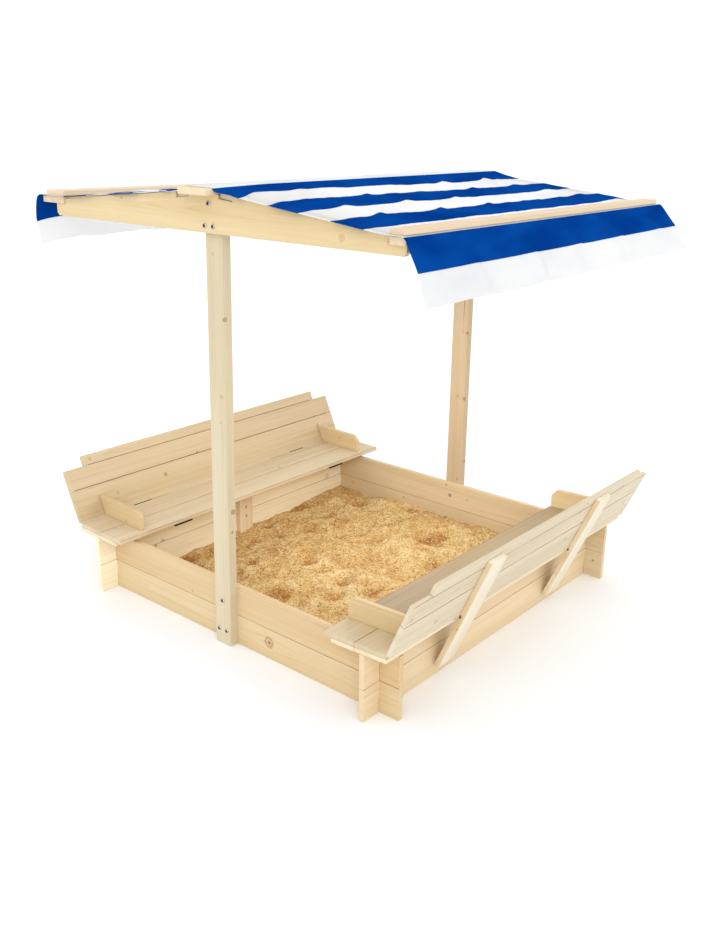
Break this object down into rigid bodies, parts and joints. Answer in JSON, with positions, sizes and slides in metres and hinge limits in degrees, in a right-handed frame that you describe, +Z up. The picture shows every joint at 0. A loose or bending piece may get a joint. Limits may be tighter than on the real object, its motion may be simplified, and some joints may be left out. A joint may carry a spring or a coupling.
{
  "type": "sandbox",
  "caption": "Square wooden sandbox with two fold-out bench lids with backrests and armrests, sand, and a blue and white striped cloth canopy on a post at each end",
  "frame": {"origin": "on the ground at the centre of the square box", "axes": "+Z up, X across the two bench lids, Y along the lids from the near post to the far post"},
  "size_m": [1.4134, 1.239, 1.2455],
  "materials": {
    "pine": "untreated, planed",
    "steel": "zinc plated",
    "canopy_cloth": "woven, blue and white stripes",
    "ground_sheet": "woven sheet",
    "sand": "loose grains"
  },
  "bodies": {
    "frame": {"wall_left_lower": "pine", "wall_left_upper": "pine", "wall_right_lower": "pine", "wall_right_upper": "pine", "wall_near_lower": "pine", "wall_near_upper": "pine", "wall_far_lower": "pine", "wall_far_upper": "pine", "wall_cleat_left": "pine", "wall_cleat_right": "pine", "cleat_screws": "steel", "ground_sheet": "ground_sheet", "sand_fill": "sand", "post_near": "pine", "post_far": "pine", "post_bolts": "steel", "gable_near": "pine", "gable_far": "pine", "gable_bolts": "steel", "eave_rail_left": "pine", "eave_rail_right": "pine", "eave_clamp_left": "pine", "eave_clamp_right": "pine", "ridge_batten_left": "pine", "ridge_batten_right": "pine", "ridge_board": "pine", "canopy": "canopy_cloth", "ledge_left_inner": "pine", "ledge_left_outer": "pine", "ledge_right_inner": "pine", "ledge_right_outer": "pine", "front_hinge_fixed_left": "steel", "front_hinge_fixed_right": "steel"},
    "left_seat": {"seat_left_inner": "pine", "seat_left_outer": "pine", "armrest_left_near": "pine", "armrest_left_far": "pine", "front_hinge_moving_left": "steel", "rear_hinge_seat_left": "steel"},
    "left_back": {"back_left_lower": "pine", "back_left_middle": "pine", "back_left_top": "pine", "strut_left_near": "pine", "strut_left_far": "pine", "rear_hinge_back_left": "steel"},
    "right_seat": {"seat_right_inner": "pine", "seat_right_outer": "pine", "armrest_right_near": "pine", "armrest_right_far": "pine", "front_hinge_moving_right": "steel", "rear_hinge_seat_right": "steel"},
    "right_back": {"back_right_lower": "pine", "back_right_middle": "pine", "back_right_top": "pine", "strut_right_near": "pine", "strut_right_far": "pine", "rear_hinge_back_right": "steel"}
  },
  "joints": [
    {"name": "left_seat_hinge", "type": "hinge", "parent": "frame", "child": "left_seat", "pos_m": [-0.40478, 0, 0.1927], "axis": [0, 1, 0], "range_deg": [0, 179]},
    {"name": "left_back_hinge", "type": "hinge", "parent": "left_seat", "child": "left_back", "pos_m": [-0.60748, 0, 0.20589], "axis": [0, -1, 0], "range_deg": [0, 65]},
    {"name": "right_seat_hinge", "type": "hinge", "parent": "frame", "child": "right_seat", "pos_m": [0.40456, 0, 0.19564], "axis": [0, -1, 0], "range_deg": [0, 178]},
    {"name": "right_back_hinge", "type": "hinge", "parent": "right_seat", "child": "right_back", "pos_m": [0.607, 0, 0.21236], "axis": [0, 1, 0], "range_deg": [0, 65]}
  ],
  "couplings": [
    {"joint": "left_back_hinge", "follows": "left_seat_hinge", "ratio": 0.3631},
    {"joint": "right_back_hinge", "follows": "right_seat_hinge", "ratio": 0.3651}
  ]
}
